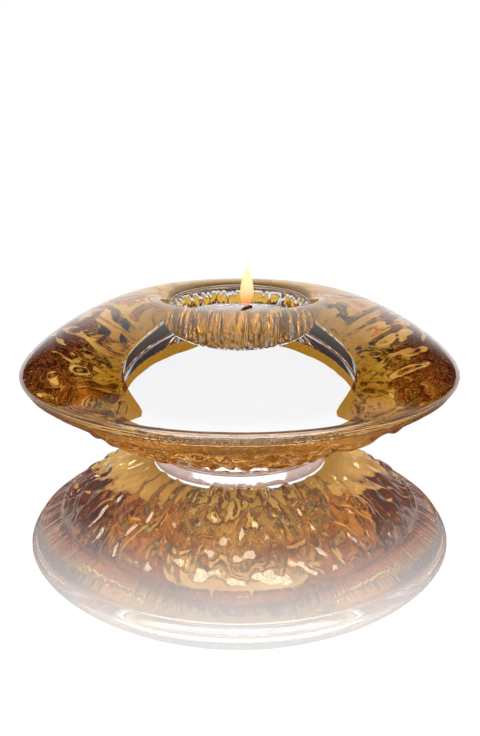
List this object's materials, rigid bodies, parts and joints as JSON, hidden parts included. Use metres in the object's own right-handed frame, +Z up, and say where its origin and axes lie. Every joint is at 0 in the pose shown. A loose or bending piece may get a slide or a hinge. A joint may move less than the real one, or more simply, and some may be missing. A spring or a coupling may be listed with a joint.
{
  "type": "tealight holder",
  "caption": "Low round crystal tealight holder: clear domed body on a short foot, amber ridged underside, with a tealight in its top well.",
  "frame": {"origin": "middle of the foot's flat base, on the surface that the holder stands on", "axes": "+Z up along the axis of the round body; +X is the side that the wick leans to"},
  "size_m": [0.14, 0.14, 0.0506],
  "materials": {
    "crystal": "polished clear crystal",
    "amber_glass": "amber cased glass, fire polished over relief",
    "cup_aluminium": "thin drawn aluminium, softly crimped",
    "wax": "waxy, softly translucent",
    "tinplate": "plain tinplate",
    "wick_cotton": "charred braided cotton"
  },
  "bodies": {
    "holder": {"crystal_body": "crystal", "amber_layer": "amber_glass"},
    "tealight": {"tealight_cup": "cup_aluminium"},
    "candle": {"tealight_wax": "wax", "wick_tab": "tinplate", "wick": "wick_cotton"}
  },
  "joints": [
    {"name": "tealight_lift", "type": "slide", "parent": "holder", "child": "tealight", "axis": [0, 0, 1], "range_m": [0, 0.03]},
    {"name": "wax_lift", "type": "slide", "parent": "tealight", "child": "candle", "axis": [0, 0, 1], "range_m": [0, 0.022]}
  ]
}
